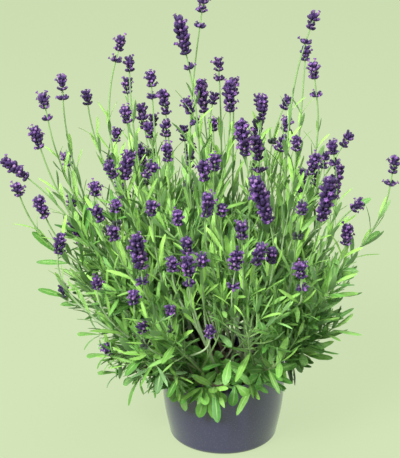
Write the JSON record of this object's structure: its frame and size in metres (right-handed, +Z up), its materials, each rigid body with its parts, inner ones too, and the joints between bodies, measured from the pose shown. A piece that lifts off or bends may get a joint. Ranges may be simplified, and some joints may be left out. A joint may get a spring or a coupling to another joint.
{
  "type": "potted lavender",
  "caption": "Bushy flowering lavender plant with narrow green leaves and violet flower spikes, growing in a plain tapered pot.",
  "frame": {"origin": "centre of the pot's flat underside, on the surface that the pot stands on", "axes": "+Z up along the pot's axis, -Y towards the side of the bush with the most flower heads low down"},
  "size_m": [0.3985, 0.3529, 0.47],
  "materials": {
    "pot_glaze": "satin",
    "compost": "matt, crumbly",
    "flower_violet": "matt, velvety",
    "leaf_green": "matt with a slight sheen",
    "stalk_green": "matt"
  },
  "bodies": {
    "root": {"pot": "pot_glaze", "compost": "compost", "flowering_spray_1": "flower_violet", "flowering_spray_2": "flower_violet", "flowering_spray_3": "flower_violet", "flowering_spray_4": "flower_violet", "flowering_spray_5": "flower_violet", "flowering_spray_6": "flower_violet", "flowering_spray_7": "flower_violet", "flowering_spray_8": "flower_violet", "flowering_spray_9": "flower_violet", "flowering_spray_10": "flower_violet", "flowering_spray_11": "flower_violet", "flowering_spray_12": "flower_violet", "flowering_spray_13": "flower_violet", "flowering_spray_14": "flower_violet", "flowering_spray_15": "flower_violet", "flowering_spray_16": "flower_violet", "flowering_spray_17": "flower_violet", "flowering_spray_18": "flower_violet", "flowering_spray_19": "flower_violet", "flowering_spray_20": "flower_violet", "flowering_spray_21": "flower_violet", "flowering_spray_22": "flower_violet", "flowering_spray_23": "flower_violet", "flowering_spray_24": "flower_violet", "leafy_branch_1": "leaf_green", "leafy_branch_2": "leaf_green", "leafy_branch_3": "leaf_green", "leafy_branch_4": "leaf_green", "leafy_branch_5": "leaf_green", "leafy_branch_6": "leaf_green", "leafy_branch_7": "leaf_green", "leafy_branch_8": "leaf_green", "leafy_branch_9": "leaf_green", "leafy_branch_10": "leaf_green", "leafy_branch_11": "leaf_green", "leafy_branch_12": "leaf_green", "leafy_branch_13": "leaf_green", "leafy_branch_14": "leaf_green", "leafy_branch_15": "leaf_green", "leafy_branch_16": "leaf_green"}
  },
  "joints": []
}
